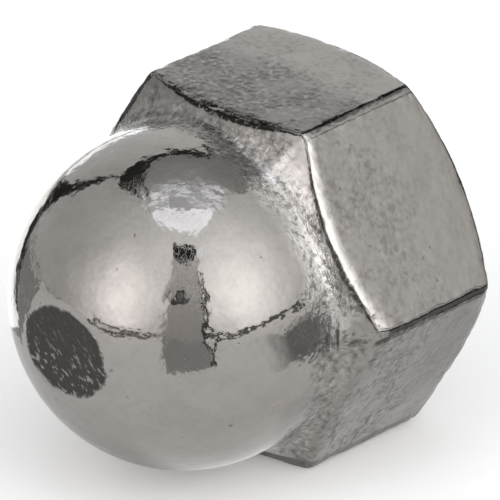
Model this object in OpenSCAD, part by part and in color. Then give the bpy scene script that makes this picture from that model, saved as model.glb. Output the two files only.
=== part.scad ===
// Domed cap nut for a metric coarse thread, turned from hexagon bar in one piece.
// It lies on a flat at Z = 0, as it comes to rest, with the dome towards -Y and corners on +X and -X.
// The modules build it upright, its axis on Z and its bearing ring at Z = 0, and then lay it down.
// All lengths are millimetres and all angles degrees.

/* [Hexagon] */
// Width across the flats
across_flats = 16.8; // [15:0.1:20]
// Height of a flat at its middle, from the seat chamfer to the crown chamfer
flat_h = 8.2; // [6:0.1:12]
// Rounding of the six upright edges
edge_r = 0.6; // [0.2:0.1:1.2]
// Slope of the seat chamfer, below the flats
seat_chamfer_deg = 32; // [20:1:40]
// How far the bearing ring stays inside the flats
seat_inset = 0.25; // [0.1:0.05:0.8]
// Slope of the crown chamfer, above the flats
crown_chamfer_deg = 34; // [20:1:40]

/* [Dome] */
// Step from a flat in to the wall of the dome
shoulder_w = 0.6; // [0.3:0.1:1.5]
// Height of the dome's straight wall, from the shoulder to where the sphere starts
skirt_h = 1.8; // [1:0.1:4]
// Fillet between the shoulder and the dome's wall
root_r = 1.2; // [0.4:0.1:1.8]
// Diameter of the flat at the tip of the dome
tip_d = 4.7; // [1:0.1:7]

/* [Thread] */
// Outer diameter of the thread
thread_d = 10; // [6:0.5:11]
// Pitch of the thread
thread_pitch = 1.5; // [0.75:0.25:1.5]
// How far the countersink at the mouth reaches past the thread, on the radius
mouth_margin = 0.4; // [0.1:0.1:0.8]
// Full angle of the countersink
mouth_deg = 120; // [90:5:120]
// Metal left between the drill point and the tip of the dome
tip_wall = 2.5; // [1.5:0.1:4]
// Full angle of the drill point at the blind end
drill_deg = 118; // [90:2:140]

/* [Hidden] */
$fn = 96;
// Overlap that lets a cutting shape run clear of the face it cuts
eps = 0.01;
// How far an arc reaches past the straight lines that it runs into, so that they always meet
arc_overlap = 0.0002;
// Share of the pitch by which a 60 degree internal thread is shallower than its outer diameter
internal_thread_share = 1.0825;
corners = 6;

// Hexagon
flat_r = across_flats / 2;
corner_r = flat_r / cos(180 / corners);
edge_centre_r = corner_r - edge_r / cos(180 / corners);

// Heights, stacked up from the bearing ring
seat_r = flat_r - seat_inset;
flat_low_z = seat_inset * tan(seat_chamfer_deg);
flat_top_z = flat_low_z + flat_h;
shoulder_z = flat_top_z + shoulder_w * tan(crown_chamfer_deg);
sphere_z = shoulder_z + skirt_h;

// Dome
dome_r = flat_r - shoulder_w;
tip_r = tip_d / 2;
total_h = sphere_z + sqrt(pow(dome_r, 2) - pow(tip_r, 2));

// The fillet's circle touches the dome's wall and the crown chamfer, which is a straight line in section
fillet_x = dome_r + root_r;
fillet_z = shoulder_z - root_r * tan(crown_chamfer_deg) + root_r / cos(crown_chamfer_deg);
fillet_foot_x = fillet_x - root_r * sin(crown_chamfer_deg);
fillet_foot_z = fillet_z - root_r * cos(crown_chamfer_deg);

// Threaded bore, drilled at the thread's inner diameter
minor_r = (thread_d - internal_thread_share * thread_pitch) / 2;
mouth_r = thread_d / 2 + mouth_margin;
mouth_h = (mouth_r - minor_r) / tan(mouth_deg / 2);
drill_point_h = minor_r / tan(drill_deg / 2);
bore_h = total_h - tip_wall - drill_point_h;

// A point at radius r and height z on the seat chamfer's line, and on the crown chamfer's line
function seat_point(r) = [r, (r - seat_r) * tan(seat_chamfer_deg)];
function crown_point(r) = [r, flat_top_z - (r - flat_r) * tan(crown_chamfer_deg)];

// A point at radius r from the axis, in the direction a
function polar(r, a) = [r * cos(a), r * sin(a)];

// Section of the bar: a hexagon whose corners are arcs that run tangent into the flats
module bar_section() {
    half_turn = 180 / corners;
    polygon([
        for (k = [0 : corners - 1], side = [-1, 1])
            let (a = 2 * half_turn * k)
            polar(edge_centre_r, a) + polar(edge_r, a + side * half_turn)
    ]);
    for (k = [0 : corners - 1])
        translate(polar(edge_centre_r, 2 * half_turn * k)) circle(r = edge_r + arc_overlap);
}

// Half section of the hexagon's part, cut back by both chamfers
module hexagon_profile() {
    polygon([
        [0, 0],
        [seat_r, 0],
        seat_point(corner_r),
        crown_point(corner_r),
        crown_point(dome_r),
        [0, shoulder_z]
    ]);
}

// Half section of the dome: a straight wall, then a quarter circle cut flat at the tip
module dome_profile() {
    translate([0, shoulder_z - eps]) square([dome_r, skirt_h + eps]);
    intersection() {
        translate([0, sphere_z]) circle(r = dome_r);
        translate([0, sphere_z]) square([dome_r, total_h - sphere_z]);
    }
}

// Half section of the metal round the corner between shoulder and wall, with the fillet as its edge
module fillet_profile() {
    difference() {
        polygon([
            [minor_r, flat_low_z],
            [fillet_foot_x, flat_low_z],
            [fillet_foot_x, fillet_foot_z],
            [fillet_x, fillet_z],
            [minor_r, fillet_z]
        ]);
        translate([fillet_x, fillet_z]) circle(r = root_r + arc_overlap);
    }
}

// Half section of the countersink, the bore and its drill point
module bore_profile() {
    polygon([
        [0, -eps],
        [mouth_r + eps * tan(mouth_deg / 2), -eps],
        [minor_r, mouth_h],
        [minor_r, bore_h],
        [0, bore_h + drill_point_h]
    ]);
}

// Everything that the lathe cuts, as one solid of revolution
module turned_form() {
    rotate_extrude() difference() {
        union() {
            hexagon_profile();
            dome_profile();
            fillet_profile();
        }
        bore_profile();
    }
}

// Lays an upright nut on the flat that faced -Y, with the middle of its length over the origin
module lay_on_flat() {
    translate([0, total_h / 2, flat_r]) rotate([90, 0, 0]) children();
}

module cap_nut() {
    color("#a39f9a")
        lay_on_flat()
            intersection() {
                linear_extrude(height = total_h) bar_section();
                turned_form();
            }
}

cap_nut();
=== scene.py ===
"""A domed cap nut in tumbled nickel plate. It lies on one of its flats inside a white light tent.

Lengths in the dataclasses are millimetres, and angles are degrees. Blender's own objects are in metres.
The nut is shaped upright, with its bearing ring at height 0 and its dome up, and is then laid down into
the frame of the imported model.
"""
import logging
from collections.abc import Callable
from dataclasses import dataclass, field
from enum import Enum
from math import acos, asin, atan, atan2, cos, degrees, hypot, pi, radians, sin, sqrt, tan

import bpy
from mathutils import Matrix, Vector


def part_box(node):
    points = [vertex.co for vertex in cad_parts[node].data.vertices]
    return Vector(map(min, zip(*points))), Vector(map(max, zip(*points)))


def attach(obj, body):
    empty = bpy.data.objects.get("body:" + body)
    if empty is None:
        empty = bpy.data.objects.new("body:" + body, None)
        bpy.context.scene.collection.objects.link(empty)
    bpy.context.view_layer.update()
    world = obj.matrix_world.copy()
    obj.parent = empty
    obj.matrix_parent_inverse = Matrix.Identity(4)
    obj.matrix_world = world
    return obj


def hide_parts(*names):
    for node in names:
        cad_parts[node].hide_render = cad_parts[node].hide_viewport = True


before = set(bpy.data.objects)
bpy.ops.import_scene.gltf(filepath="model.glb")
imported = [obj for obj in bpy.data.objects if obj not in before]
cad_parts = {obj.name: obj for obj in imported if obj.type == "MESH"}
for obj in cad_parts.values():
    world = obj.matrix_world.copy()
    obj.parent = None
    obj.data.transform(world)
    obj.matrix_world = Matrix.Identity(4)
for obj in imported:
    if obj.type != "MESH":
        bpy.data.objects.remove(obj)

log = logging.getLogger("cap_nut")

MM = 0.001
CORNERS = 6
# Share of the pitch by which a 60 degree internal thread is shallower than its outer diameter
INTERNAL_THREAD_SHARE = 1.0825
# Slope of a thread's flanks
FLANK = 30.0
VECTOR = "NodeSocketVector"
GEOMETRY = "NodeSocketGeometry"
MATERIAL = "NodeSocketMaterial"
SOCKET_KINDS = {"VALUE": "NodeSocketFloat", "VECTOR": VECTOR, "GEOMETRY": GEOMETRY}
Point = tuple[float, float]
Colour = tuple[float, float, float]
Face = tuple[int, ...]
WHITE: Colour = (1.0, 1.0, 1.0)
BLACK: Colour = (0.0, 0.0, 0.0)


class Zone(Enum):
    """The two surfaces of the nut, by the number of their material slot."""

    OUTSIDE = 0
    BORE = 1


Ring = tuple[float, float, Zone]


def opaque(colour: object) -> object:
    """Give a colour of three numbers its fourth one, and leave a node's colour as it is."""
    return (*colour, 1.0) if isinstance(colour, tuple) else colour


def metres(sizes: object, *names: str) -> dict[str, float]:
    """Return fields that hold millimetres as node inputs in metres, which are named after the fields."""
    return {name.replace("_", " ").title(): getattr(sizes, name) * MM for name in names}


def in_metres(lengths: Point) -> Point:
    """Turn two lengths from millimetres to metres."""
    return lengths[0] * MM, lengths[1] * MM


def evenly(start: float, end: float, count: int) -> list[float]:
    """Return count + 1 evenly spaced numbers from start to end."""
    return [start + (end - start) * k / count for k in range(count + 1)]


def grid_faces(rows: int, columns: int, closed: bool = False) -> list[Face]:
    """Lay four-sided faces over a grid of points.

    Args:
        rows: how many faces there are from the first row of points to the last.
        columns: how many there are along a row.
        closed: whether each row runs back to its own start.

    Returns:
        The faces. A row has one point more than it has faces, unless it is closed.
    """
    step = columns if closed else columns + 1
    return [(a * step + k, a * step + (k + 1) % step, (a + 1) * step + (k + 1) % step, (a + 1) * step + k)
            for a in range(rows) for k in range(columns)]


def new_object(name: str, points: list, faces: list[Face], *finishes: bpy.types.Material) -> bpy.types.Object:
    """Make a mesh object and put it into the scene.

    Args:
        name: its name and that of its mesh.
        points: the corners, in metres.
        faces: the numbers of each face's corners.
        finishes: its materials.

    Returns:
        The object.
    """
    mesh = bpy.data.meshes.new(name)
    mesh.from_pydata([tuple(p) for p in points], [], faces)
    for finish in finishes:
        mesh.materials.append(finish)
    mesh.update()
    made = bpy.data.objects.new(name, mesh)
    bpy.context.scene.collection.objects.link(made)
    return made


class NodeSketch:
    """Draws a node tree: it adds nodes, and links or sets what goes into them."""

    def __init__(self, tree: bpy.types.NodeTree) -> None:
        """Start on a tree."""
        self.tree = tree

    def put(self, node: bpy.types.Node, inputs: dict) -> None:
        """Fill a node's inputs, by name or number: a node's value is linked, and the rest is set.

        Args:
            node: the node.
            inputs: what goes in.
        """
        for key, value in inputs.items():
            if isinstance(value, Value):
                self.tree.links.new(value.socket, node.inputs[key])
            else:
                node.inputs[key].default_value = value

    def add(self, kind: str, inputs: dict | None = None, **settings: object) -> "Value":
        """Add one node.

        Args:
            kind: the node's Blender type.
            inputs: what goes into it, by name or number.
            settings: the node's own properties.

        Returns:
            The node's first output.
        """
        node = self.tree.nodes.new(kind)
        for name, setting in settings.items():
            setattr(node, name, setting)
        self.put(node, inputs or {})
        return Value(self, node.outputs[0])

    def end(self, kind: str, inputs: dict) -> None:
        """Add a node that gives nothing out."""
        self.put(self.tree.nodes.new(kind), inputs)

    def math(self, operation: str, *values: object) -> "Value":
        """Add a Math node."""
        return self.add("ShaderNodeMath", dict(enumerate(values)), operation=operation)

    def mix(self, factor: object, first: object, second: object, blend: str = "MIX") -> "Value":
        """Mix two colours by a factor."""
        inputs = {0: factor, 6: opaque(first), 7: opaque(second)}
        return self.add("ShaderNodeMix", inputs, data_type="RGBA", blend_type=blend)[2]

    def combined(self, x: object = 0.0, y: object = 0.0, z: object = 0.0) -> "Value":
        """Make a vector from its three parts."""
        return self.add("ShaderNodeCombineXYZ", {0: x, 1: y, 2: z})

    def use(self, group: bpy.types.NodeTree, inputs: dict) -> "Value":
        """Place a shared group with inputs of its own."""
        kind = "GeometryNodeGroup" if group.type == "GEOMETRY" else "ShaderNodeGroup"
        return self.add(kind, inputs, node_tree=group)


def joined_by(operation: str, turned: bool = False) -> Callable:
    """Make the method behind one of Value's operators, which adds a Math node.

    Args:
        operation: the Math node's operation.
        turned: whether the value comes after what it is joined with.

    Returns:
        The method.
    """
    def join(value: "Value", *others: object) -> "Value":
        """Join the value with numbers or other values."""
        return value.sketch.math(operation, *((*others, value) if turned else (value, *others)))
    return join


class Value:
    """What a node gives out. Operators join it with numbers and other values, each by a Math node."""

    __add__, __radd__ = joined_by("ADD"), joined_by("ADD", turned=True)
    __sub__, __rsub__ = joined_by("SUBTRACT"), joined_by("SUBTRACT", turned=True)
    __mul__, __rmul__ = joined_by("MULTIPLY"), joined_by("MULTIPLY", turned=True)
    __truediv__, __rtruediv__ = joined_by("DIVIDE"), joined_by("DIVIDE", turned=True)
    __pow__, __abs__ = joined_by("POWER"), joined_by("ABSOLUTE")
    __lt__, __gt__ = joined_by("LESS_THAN"), joined_by("GREATER_THAN")
    at_least, at_most = joined_by("MAXIMUM"), joined_by("MINIMUM")
    sine, cosine, tangent = joined_by("SINE"), joined_by("COSINE"), joined_by("TANGENT")
    exponential = joined_by("EXPONENT")

    def __init__(self, sketch: NodeSketch, socket: bpy.types.NodeSocket) -> None:
        """Hold one output of a node."""
        self.sketch = sketch
        self.socket = socket

    def __getitem__(self, key: str | int) -> "Value":
        """Return another output of the same node."""
        return Value(self.sketch, self.socket.node.outputs[key])

    def ramp(self, start: object, end: object, low: object = 0.0, high: object = 1.0) -> "Value":
        """Turn the value into a smooth step, from low at start to high at end."""
        inputs = {0: self, 1: start, 2: end, 3: low, 4: high}
        return self.sketch.add("ShaderNodeMapRange", inputs, interpolation_type="SMOOTHSTEP")

    def between(self, low: object, high: object) -> "Value":
        """Go smoothly from low to high as the value goes from 0 to 1."""
        return self.ramp(0.0, 1.0, low, high)

    def noise(self, size: object, detail: float = 2.0, roughness: float = 0.5) -> "Value":
        """Add cloud noise over this position, with features about as wide as size, in metres.

        Args:
            size: the width of a feature.
            detail: how many finer layers there are.
            roughness: how strong those are.

        Returns:
            The noise, about 0.5 on average.
        """
        inputs = {"Vector": self, "Scale": self.sketch.math("DIVIDE", 1.0, size), "Detail": detail,
                  "Roughness": roughness}
        return self.sketch.add("ShaderNodeTexNoise", inputs)["Fac"]

    def vector(self, operation: str, *others: object) -> "Value":
        """Add a Vector Math node that starts from this vector."""
        made = self.sketch.add("ShaderNodeVectorMath", dict(enumerate((self, *others))), operation=operation)
        return made["Value"] if operation in ("DOT_PRODUCT", "LENGTH", "DISTANCE") else made

    def scaled(self, factor: object) -> "Value":
        """Scale this vector."""
        return self.sketch.add("ShaderNodeVectorMath", {0: self, "Scale": factor}, operation="SCALE")

    def parts(self) -> list["Value"]:
        """Split this vector into its three parts."""
        split = self.sketch.add("ShaderNodeSeparateXYZ", {0: self})
        return [split[k] for k in range(3)]

    def painted(self, share: object, colour: object) -> "Value":
        """Lay another colour over this one, by a share."""
        return self.sketch.mix(share, self, colour)


class Group(NodeSketch):
    """Draws a node group with named inputs and outputs."""

    def __init__(self, name: str, inputs: dict[str, object], kind: str = "ShaderNodeTree") -> None:
        """Start a group.

        Args:
            name: the group's name.
            inputs: each input's name, with its starting value, or its socket type where it has none.
            kind: ShaderNodeTree or GeometryNodeTree.
        """
        super().__init__(bpy.data.node_groups.new(name, kind))
        for label, start in inputs.items():
            kind_of = start if isinstance(start, str) else SOCKET_KINDS["VALUE"]
            socket = self.tree.interface.new_socket(label, in_out="INPUT", socket_type=kind_of)
            if not isinstance(start, str):
                socket.default_value = start
        self.given = self.add("NodeGroupInput")

    def __getitem__(self, name: str) -> Value:
        """Return what comes in by an input."""
        return self.given[name]

    def give(self, **results: Value) -> bpy.types.NodeTree:
        """Give values out under the names that they have here, and return the finished group.

        Args:
            results: the values by output.

        Returns:
            The group's tree.
        """
        for name, value in results.items():
            kind = SOCKET_KINDS[value.socket.type]
            self.tree.interface.new_socket(name, in_out="OUTPUT", socket_type=kind)
        self.end("NodeGroupOutput", results)
        return self.tree


class Finish(NodeSketch):
    """Draws a material."""

    def __init__(self, name: str, plated: bool = False) -> None:
        """Start a material. A plated one keeps its Principled shader, and any other starts empty.

        Args:
            name: the material's name.
            plated: whether it is metal.
        """
        self.made = bpy.data.materials.new(name)
        self.made.use_nodes = True
        super().__init__(self.made.node_tree)
        if not plated:
            self.tree.nodes.clear()

    def position(self) -> Value:
        """Add the object's own coordinates."""
        return self.add("ShaderNodeTexCoord")["Object"]

    def light(self, colour: object, strength: object) -> Value:
        """Add a shader that shines evenly."""
        return self.add("ShaderNodeEmission", {"Color": opaque(colour), "Strength": strength})

    def show(self, shader: Value) -> bpy.types.Material:
        """Make a shader what the material shows, and return the material."""
        self.end("ShaderNodeOutputMaterial", {"Surface": shader})
        return self.made

    def fade(self, within: Value, level: float) -> bpy.types.Material:
        """Show an even light that fades to clear where within falls to 0, and return the material."""
        clear = self.add("ShaderNodeBsdfTransparent")
        return self.show(self.add("ShaderNodeMixShader", {0: within, 1: clear, 2: self.light(WHITE, level)}))

    def plate(self, colour: Value, roughness: object, height: Value) -> bpy.types.Material:
        """Make the surface metal, uneven by a height in metres, and return the material.

        Args:
            colour: the metal's colour.
            roughness: its roughness.
            height: its unevenness.

        Returns:
            The material.
        """
        bump = self.add("ShaderNodeBump", {"Strength": 1.0, "Distance": 1.0, "Height": height})
        self.put(self.tree.nodes["Principled BSDF"], {
            "Metallic": 1.0, "Base Color": colour, "Roughness": roughness, "Normal": bump})
        return self.made


class PlatingGroups:
    """The shader effects that both finishes of the nut share, each built once."""

    scratch_turns = ((0.5, 0.9, 0.3), (-0.7, 0.2, 1.1))
    scratch_stretch = (1.0, 14.0, 14.0)
    pit_wobble = 0.22 * MM
    pit_wobbles_per_metre = 6000.0
    grit_edge_size = 0.7 * MM
    grit_slant = radians(-40.0)
    grit_stretch = (0.45, 1.0, 1.0)
    # Shape of the dark lines along the hexagon's edges, which are painted reflections of dark surroundings
    reflection_swing_size = 0.45 * MM
    reflection_width_size = 1.6 * MM
    reflection_break_size = 0.2 * MM
    reflection_middle = (0.3 * MM, 2.0 * MM)
    reflection_bar_edge = (-0.2 * MM, 0.1 * MM)
    reflection_lean_middle = 4.85 * MM
    reflection_lean = (-4.2 * MM, -1.0 * MM)

    def __init__(self) -> None:
        """Build the groups."""
        self.place = self._place()
        self.waves = self._waves()
        self.mottle = self._mottle()
        self.turning = self._turning()
        self.scratches = self._scratches()
        self.pits = self._pits()
        self.grit = self._grit()
        self.edges = self._edges()

    def layers(self, finish: Finish, at: dict[str, Value], sizes: object) -> tuple[Value, Value, Value]:
        """Add the waves, the mottle and the pits to a finish.

        Args:
            finish: the finish.
            at: the position, as an input of a group.
            sizes: what holds their sizes.

        Returns:
            The three groups.
        """
        waves = metres(sizes, "broad_size", "broad_depth", "fine_size", "fine_depth")
        return (finish.use(self.waves, at | waves),
                finish.use(self.mottle, at | metres(sizes, "cloud_size", "fleck_size")),
                finish.use(self.pits, at | metres(sizes, "pit_spacing", "pit_width", "pit_depth")))

    @staticmethod
    def _place() -> bpy.types.NodeTree:
        """Tell how far a point lies along the nut's axis, how far from it, and which way.

        Returns:
            The finished group.
        """
        group = Group("nut_place", {"Position": VECTOR, "Axis Height": 0.0, "Seat": 0.0})
        x, y, z = group["Position"].parts()
        off_axis = group.combined(x, z=z - group["Axis Height"])
        return group.give(Along=group["Seat"] - y, Radius=off_axis.vector("LENGTH"),
                          Way=off_axis.vector("NORMALIZE"))

    @staticmethod
    def _waves() -> bpy.types.NodeTree:
        """Make the unevenness that polishing and tumbling leave under the plate.

        Returns:
            The finished group.
        """
        group = Group("plate_waves", {"Position": VECTOR, "Broad Size": 0.002, "Broad Depth": 0.0,
                                      "Fine Size": 0.0005, "Fine Depth": 0.0})
        broad = group["Position"].noise(group["Broad Size"], 1.0)
        fine = group["Position"].noise(group["Fine Size"], 1.5, 0.45)
        return group.give(Height=broad * group["Broad Depth"] + fine * group["Fine Depth"])

    @staticmethod
    def _mottle() -> bpy.types.NodeTree:
        """Make the blotches of a tumbled surface: broad clouds with small dark and bright flecks in them.

        Returns:
            The finished group.
        """
        group = Group("tumbled_mottle", {"Position": VECTOR, "Cloud Size": 0.001, "Fleck Size": 0.0002})
        cloud = group["Position"].noise(group["Cloud Size"], 3.0)
        fleck = group["Position"].noise(group["Fleck Size"], 2.0, 0.45)
        return group.give(Cloud=cloud.ramp(0.36, 0.64), Fleck=fleck.ramp(0.5, 0.66),
                          Glint=fleck.ramp(0.46, 0.32))

    @staticmethod
    def _turning() -> bpy.types.NodeTree:
        """Make the torn marks of a lathe tool: streaks that run round the axis.

        Returns:
            The finished group.
        """
        group = Group("turning_marks", {"Way": VECTOR, "Along": 0.0, "Radius": 0.0, "Mark Run": 0.001,
                                        "Mark Line": 0.0002, "Mark Depth": 0.0})
        round_way = group["Way"].scaled(group["Radius"] / group["Mark Run"])
        across = (group["Along"] - group["Radius"]) / group["Mark Line"]
        marks = round_way.vector("ADD", group.combined(y=across)).noise(1.0, 3.0, 0.6)
        return group.give(Streak=marks.ramp(0.4, 0.62), Height=marks * group["Mark Depth"])

    def _scratches(self) -> bpy.types.NodeTree:
        """Make short shallow scratches that lie in two directions, in patches.

        Returns:
            The finished group.
        """
        group = Group("tumbling_scratches", {
            "Position": VECTOR, "Scratch Length": 0.001, "Scratch Depth": 0.0})
        length = group["Scratch Length"]
        layers = []
        for turn in self.scratch_turns:
            turned = group.add("ShaderNodeVectorRotate", {"Vector": group["Position"], "Rotation": turn},
                               rotation_type="EULER_XYZ")
            line = abs(turned.vector("MULTIPLY", self.scratch_stretch).noise(length, 0.0) - 0.5)
            patch = turned.noise(length, 1.0).ramp(0.52, 0.62)
            layers.append(line.ramp(0.0, 0.02, 1.0, 0.0) * patch)
        mask = layers[0].at_least(layers[1])
        return group.give(Mask=mask, Height=mask * group["Scratch Depth"] * -1.0)

    def _pits(self) -> bpy.types.NodeTree:
        """Make small scattered pits, a few of them large.

        Returns:
            The finished group.
        """
        group = Group("plate_pits", {"Position": VECTOR, "Pit Spacing": 0.001, "Pit Width": 0.0001,
                                     "Pit Depth": 0.0})
        position, spacing = group["Position"], group["Pit Spacing"]
        wobble = group.add("ShaderNodeTexNoise", {
            "Vector": position, "Scale": self.pit_wobbles_per_metre})["Color"]
        bent = position.vector("ADD", wobble.vector("SUBTRACT", (0.5, 0.5, 0.5)).scaled(self.pit_wobble))
        cells = group.add("ShaderNodeTexVoronoi", {"Vector": bent, "Scale": 1.0 / spacing})
        chance = group.add("ShaderNodeSeparateColor", {0: cells["Color"]})
        mask = (cells["Distance"] * spacing).ramp(0.0, group["Pit Width"] * chance ** 4.0, 1.0, 0.0)
        return group.give(Mask=mask, Height=mask * group["Pit Depth"] * -1.0)

    def _grit(self) -> bpy.types.NodeTree:
        """Make a ragged dull patch: where a distance is under its reach, the surface is rough and specked.

        Returns:
            The finished group.
        """
        group = Group("dull_grit", {
            "Position": VECTOR, "Distance": 0.0, "Tip Across": 0.001, "Tip Soft": 0.0001,
            "Tip Ragged": 0.0002, "Tip Grain": 0.0003, "Tip Depth": 0.0})
        edge = group["Position"].noise(self.grit_edge_size, 4.0, 0.65)
        reach = group["Tip Across"] + (edge - 0.5) * (group["Tip Ragged"] * 4.0)
        mask = group["Distance"].ramp(reach - group["Tip Soft"], reach, 1.0, 0.0)
        slanted = group.add("ShaderNodeVectorRotate", {"Vector": group["Position"], "Angle": self.grit_slant},
                            rotation_type="Y_AXIS")
        grain = slanted.vector("MULTIPLY", self.grit_stretch).noise(group["Tip Grain"], 3.0, 0.6)
        return group.give(Mask=mask, Speck=grain.ramp(0.55, 0.64) * mask,
                          Height=grain * group["Tip Depth"] * mask)

    def _edges(self) -> bpy.types.NodeTree:
        """Make what wear does to the hexagon's edges: polish, and dark lines beside them that are painted
        reflections of dark surroundings, given out as Scale.

        Returns:
            The finished group.
        """
        group = Group("polished_edges_and_reflection_lines", {
            "Gap": VECTOR, "Position": VECTOR, "Turned Line": 0.0, "Turned Width": 0.0001,
            "Turned Share": 1.0, "Upper Line": 0.0, "Upper Width": 0.0001, "Lower Line": 0.0,
            "Lower Width": 0.0001, "Lower Share": 1.0, "Scale Jag": 0.0, "Polish Reach": 0.001})
        place, polish = group["Position"], group["Polish Reach"]
        past, aside, side = group["Gap"].parts()
        above = side > 0.0
        swing = (place.noise(self.reflection_swing_size, 3.0, 0.6) - 0.5) * group["Scale Jag"]
        thick = place.noise(self.reflection_width_size, 2.0).ramp(0.3, 0.62, 0.5, 1.0)
        middle = aside.ramp(*self.reflection_middle, 0.6, 1.2) * self._lean(aside, side)
        turned = self._line(past, swing, group["Turned Line"], group["Turned Width"] * (thick * middle))
        upper = self._line(aside, swing, group["Upper Line"], group["Upper Width"] * thick)
        lower = self._line(aside, swing, group["Lower Line"], group["Lower Width"] * thick)
        beside = (upper * above).at_least(lower * group["Lower Share"] * (1.0 - above))
        on_bar = past.ramp(*self.reflection_bar_edge)
        # Dark lines that are painted reflections, at the flat's ends and beside its corners, broken into
        # pieces
        edge_reflection_mask = (turned * group["Turned Share"]).at_least(beside * on_bar)
        reflection_breaks = place.noise(self.reflection_break_size, 2.0).ramp(0.34, 0.46, 0.35, 1.0)
        return group.give(Scale=edge_reflection_mask * reflection_breaks, Turned=abs(past).ramp(0.0, polish, 1.0, 0.0),
                          Side=aside.ramp(0.0, polish, 1.0, 0.0) * on_bar)

    def _lean(self, aside: Value, side: Value) -> Value:
        """Add a share that is 1 near a flat's first corner, and falls to a small one near its last."""
        return ((self.reflection_lean_middle - aside) * side).ramp(*self.reflection_lean, 0.35, 1.0)

    @staticmethod
    def _line(distance: Value, swing: Value, middle: Value, width: Value) -> Value:
        """Add a jagged line.

        Args:
            distance: the distance that the line is drawn at.
            swing: how far it strays.
            middle: where its middle runs.
            width: half its width.

        Returns:
            1 on the line and 0 beside it.
        """
        return abs(swing + (distance - middle)).ramp(width * 0.5, width, 1.0, 0.0)


@dataclass(frozen=True)
class FlatTone:
    """How one flat of the hexagon differs from the rest.

    Its painted shade is given as the share of brightness kept near the seat and near the crown. Then come how
    blotched it is, how dark the painted reflection line at its crown edge is, and how strongly its rubbed
    edge and root are lightened by a painted highlight.
    """

    clock: float
    seat_share: float
    crown_share: float
    blotched: float
    scaled: float
    bare: float

    def shares(self) -> dict[str, float]:
        """Return how much painted shade darkens the flat near the seat and near the crown, and its other
        strengths.
        """
        return {"seat_shade": 1.0 - self.seat_share, "crown_shade": 1.0 - self.crown_share,
                "blotched": self.blotched, "scaled": self.scaled, "bare": self.bare}


@dataclass(frozen=True)
class CornerTone:
    """The dark lines painted along one corner of the hexagon as reflections of dark surroundings: one above
    it and one below, each with half its width.

    At its crown end, the lower line lies further from the corner by the droop.
    """

    clock: float
    upper_line: float
    upper_width: float
    lower_line: float
    lower_width: float
    lower_share: float
    droop: float

    def lines(self) -> dict[str, float]:
        """Return the lines as inputs of the worn edges."""
        return metres(self, "upper_line", "upper_width", "lower_line", "lower_width") | {
            "Lower Share": self.lower_share}


def passing(way: Value, clock: float, outer: float, inner: float, old: dict, new: dict) -> dict[str, Value]:
    """Pass from old values to new ones near one direction round the nut's axis.

    Args:
        way: the direction from the axis to the point.
        clock: the direction that the new values belong to.
        outer: how far from it the old values end.
        inner: how far from it the new ones begin.
        old: the values elsewhere, by name.
        new: the values there, by the same names.

    Returns:
        The values as nodes.
    """
    turned = way.vector("DOT_PRODUCT", (cos(radians(clock)), 0.0, sin(radians(clock))))
    near = turned.ramp(cos(radians(outer)), cos(radians(inner)))
    return {name: near.between(value, new[name]) for name, value in old.items()}


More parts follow.
